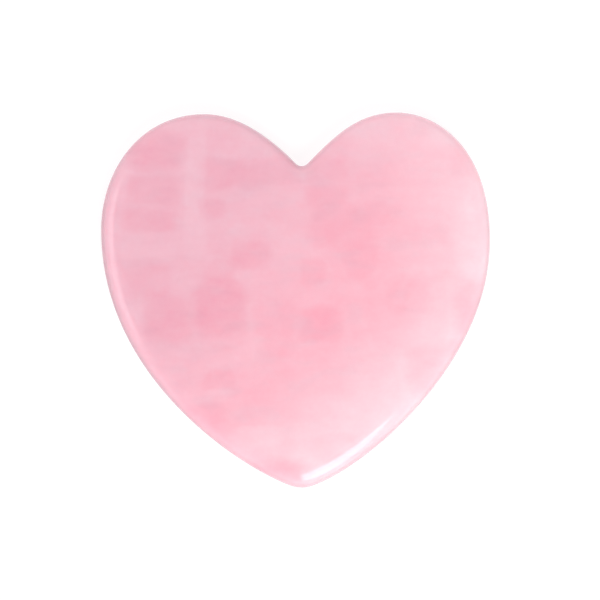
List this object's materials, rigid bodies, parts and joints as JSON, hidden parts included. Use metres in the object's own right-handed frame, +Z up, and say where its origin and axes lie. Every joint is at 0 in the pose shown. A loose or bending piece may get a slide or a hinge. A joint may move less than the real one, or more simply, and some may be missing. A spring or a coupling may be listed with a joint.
{
  "type": "gua sha scraper",
  "caption": "Heart-shaped massage scraper cut from one slab of polished rose quartz, with flat faces, a rounded edge all round, a notch between its lobes and a blunt tip.",
  "frame": {"origin": "on the flat underside, at the middle of the outline's box", "axes": "+X across the two lobes, +Y from the tip towards the notch, +Z up through the slab"},
  "size_m": [0.07, 0.0675, 0.006],
  "materials": {
    "rose_quartz": "polished"
  },
  "bodies": {
    "root": {"stone": "rose_quartz"}
  },
  "joints": []
}
